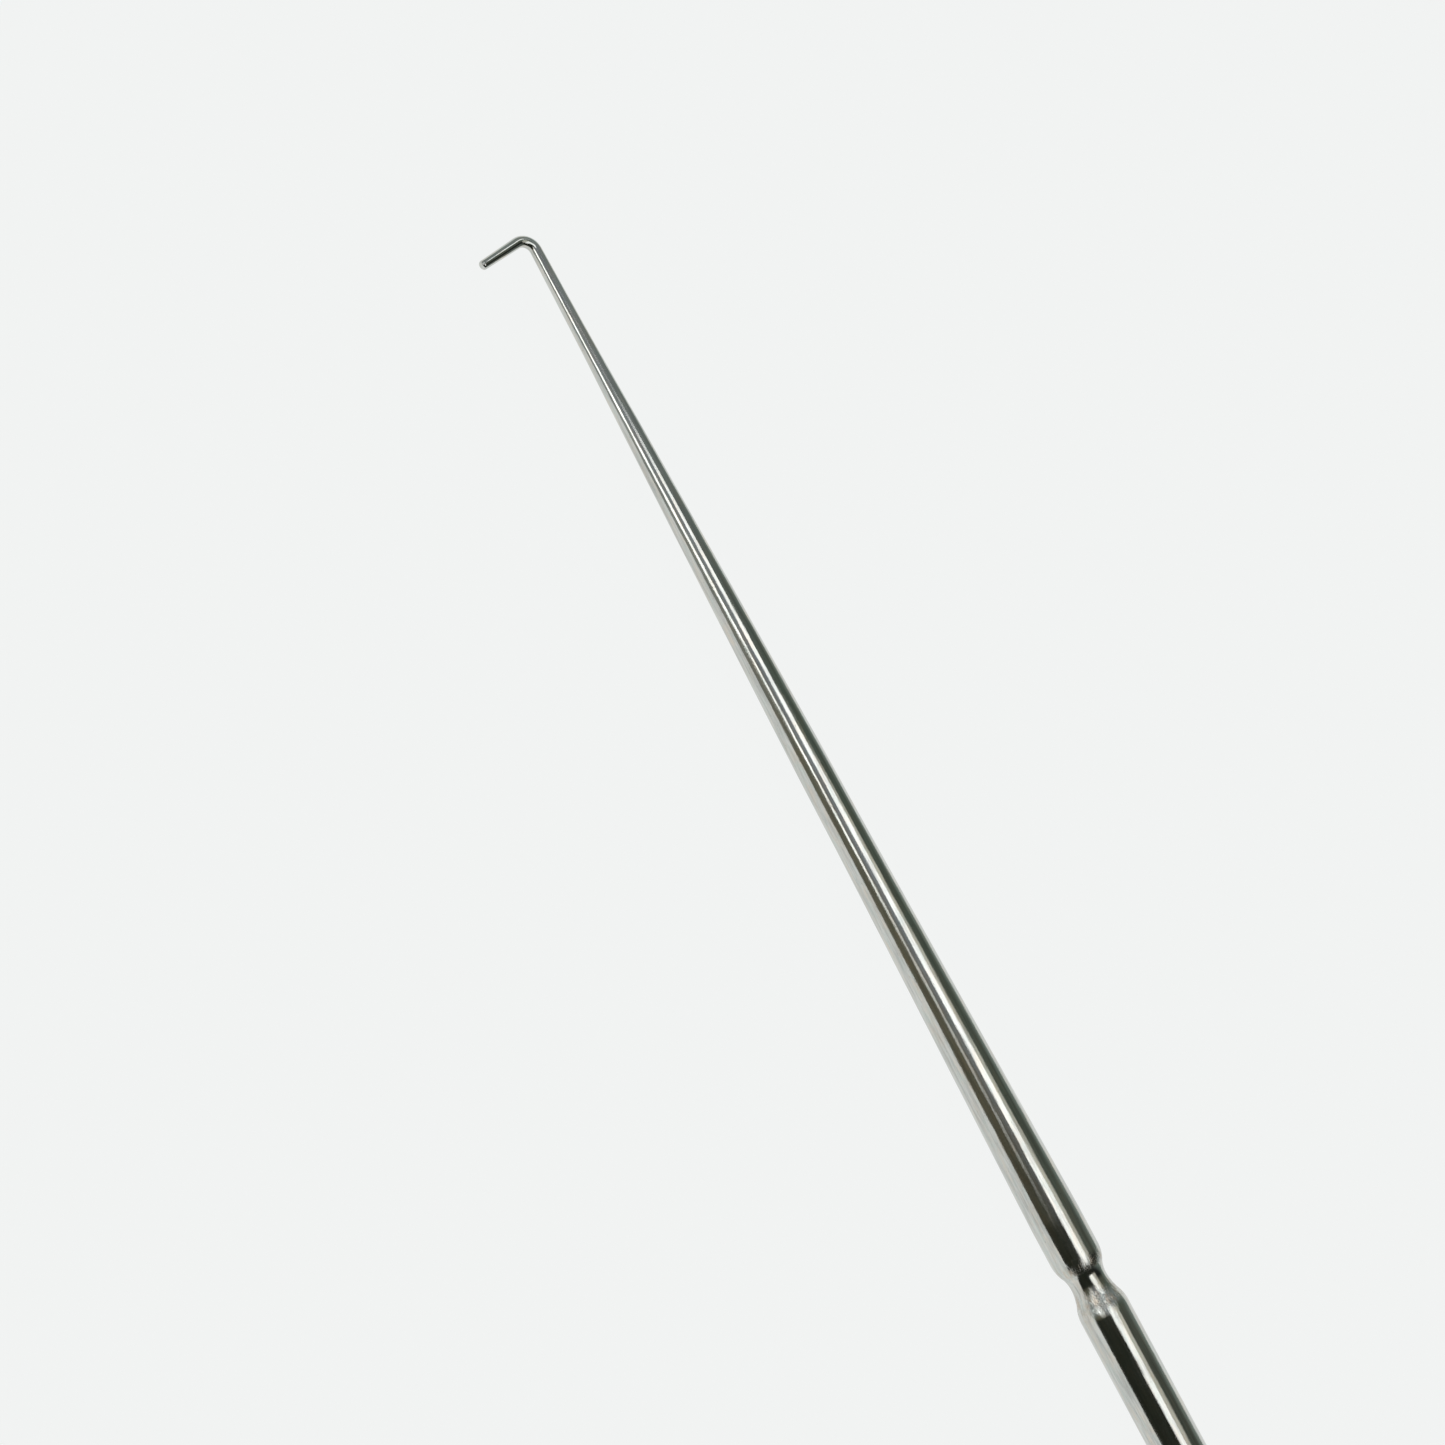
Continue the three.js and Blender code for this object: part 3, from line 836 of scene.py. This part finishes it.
ELEVATION = math.radians(59)      # the camera looks down on the tool from the hook's side
ROLL_RIGHT = 0.4725               # how much of the picture's right runs along +X
FRAME_WIDTH = 162.4               # what the picture takes in at the tool, in millimetres
CAMERA_DISTANCE = 320.0
AIM_FROM_SEAM = 73.1              # the aim point, along the point from the seam
AIM_BELOW = 6.6                   # and across it, away from the picture's upper right
SENSOR = 36.0


def view_axes():
    """The picture's right and up, and the direction from the tool to the camera."""
    lean = math.pi / 2 - ELEVATION
    along = Vector((1, 0, 0))
    across = Vector((0, math.cos(lean), math.sin(lean)))
    out = Vector((0, -math.sin(lean), math.cos(lean)))
    run = math.sqrt(1 - ROLL_RIGHT ** 2)
    right = along * ROLL_RIGHT + across * run
    up = across * ROLL_RIGHT - along * run
    return right, up, out, across


def camera():
    right, up, out, across = view_axes()
    aim = (Vector((SEAM - AIM_FROM_SEAM, 0, AXIS_Z)) - across * AIM_BELOW) * MM
    data = bpy.data.cameras.new("camera")
    data.sensor_width = SENSOR
    data.lens = SENSOR * CAMERA_DISTANCE / FRAME_WIDTH
    data.clip_start = 0.01
    data.clip_end = 20
    obj = bpy.data.objects.new("camera", data)
    bpy.context.scene.collection.objects.link(obj)
    turn = Matrix((right, up, out)).transposed().to_4x4()
    obj.matrix_world = Matrix.Translation(aim + out * CAMERA_DISTANCE * MM) @ turn
    bpy.context.scene.camera = obj


FLOOR_HALF = 3.0                  # metres
FLOOR_GLOW = (0.875, 0.888, 0.882)
LIGHT_DISTANCE = 1.0              # metres from the X axis to each light


def floor():
    """A plain pale sheet. Nearly all its brightness is its own, so the tool's shadow stays faint."""
    h = FLOOR_HALF
    mesh = bpy.data.meshes.new("floor")
    mesh.from_pydata([(-h, -h, 0), (h, -h, 0), (h, h, 0), (-h, h, 0)], [], [(0, 1, 2, 3)])
    obj = bpy.data.objects.new("floor", mesh)
    bpy.context.scene.collection.objects.link(obj)
    n = Nodes("pale_sheet")
    n.set(Base_Color=(0.015, 0.015, 0.015, 1), Roughness=0.9, Specular_IOR_Level=0.0,
          Emission_Color=(*FLOOR_GLOW, 1), Emission_Strength=1.0)
    mesh.materials.append(n.material)


def soft_light(name, x, lean, size, watts, color=(1, 1, 1)):
    """A rectangular light, `lean` degrees from overhead towards +Y, that faces the tool's axis."""
    lean = math.radians(lean)
    data = bpy.data.lights.new(name, "AREA")
    data.shape = "RECTANGLE"
    data.size, data.size_y = size
    data.energy = watts
    data.color = color
    obj = bpy.data.objects.new(name, data)
    bpy.context.scene.collection.objects.link(obj)
    obj.location = (x, LIGHT_DISTANCE * math.sin(lean), LIGHT_DISTANCE * math.cos(lean))
    obj.rotation_euler = (-lean, 0, 0)
    obj.visible_camera = False


def lights():
    """Two panels overhead, a weak warm one beside them, a small one behind, and a low window in front."""
    soft_light("overhead", 0.31, -2.3, (1.18, 0.44), 2.45)
    soft_light("overhead_end", -0.85, 0, (0.7, 0.35), 1.2)
    soft_light("bounce", 0.38, 18.5, (0.96, 0.29), 0.5, (1.0, 0.96, 0.86))
    soft_light("back", -0.53, 31, (0.24, 0.16), 0.15)
    soft_light("window_far", -0.40, -54, (0.44, 0.30), 0.85)
    soft_light("window_near", -0.11, -47, (0.14, 0.17), 0.14)
    soft_light("window_edge", 0.03, -46, (0.14, 0.19), 0.045)


# Stops along X, from the hook's side to the needle's.
ROOM_FRONT = ((0.2, (0.36, 0.38, 0.37)), (0.5, (0.17, 0.165, 0.12)), (0.74, (0.13, 0.12, 0.085)),
              (0.9, (0.024, 0.027, 0.02)))
ROOM_BACK = ((0.36, (0.25, 0.275, 0.275)), (0.47, (0.09, 0.115, 0.092)), (0.7, (0.10, 0.11, 0.09)),
             (0.85, (0.02, 0.022, 0.02)))
ROOM_FRONT_HIGH = (0.27, 0.29, 0.31)
ROOM_BACK_LOW = (0.27, 0.32, 0.29)


def room():
    """A dim room: brown on the camera's side and green-grey behind, paler past the hook."""
    world = bpy.data.worlds.new("room")
    bpy.context.scene.world = world
    world.use_nodes = True
    t = Tree(world.node_tree)
    axes = t.add("ShaderNodeSeparateXYZ")
    t.link(t.add("ShaderNodeTexCoord").outputs["Generated"], axes.inputs["Vector"])
    x, y, z = (axes.outputs[axis] for axis in "XYZ")
    high = t.math("MULTIPLY", t.range(z, 0.7, 0.9), t.range(x, 0.2, 0.05))
    front = t.mix(high, t.ramp(t.range(x, -0.25, 0.25), *ROOM_FRONT), ROOM_FRONT_HIGH)
    low = t.range(z, 0.5, 0.0)
    back = t.mix(low, t.ramp(t.range(x, -0.6, 0.6), *ROOM_BACK), ROOM_BACK_LOW)
    dark = t.tree.nodes["Background"]
    t.link(t.mix(t.range(y, -0.1, 0.3), front, back), dark.inputs["Color"])
    show(t, dark)


def show(t, dark):
    """Sends the dim room to everything but the camera, which sees the floor's own tone."""
    pale = t.add("ShaderNodeBackground")
    pale.inputs["Color"].default_value = (*FLOOR_GLOW, 1)
    seen = t.add("ShaderNodeMixShader")
    t.link(t.add("ShaderNodeLightPath").outputs["Is Camera Ray"], seen.inputs["Fac"])
    t.link(dark.outputs["Background"], seen.inputs[1])
    t.link(pale.outputs["Background"], seen.inputs[2])
    t.link(seen.outputs["Shader"], t.tree.nodes["World Output"].inputs["Surface"])


camera()
assemble()
floor()
lights()
room()
bpy.context.scene.view_settings.view_transform = "Standard"
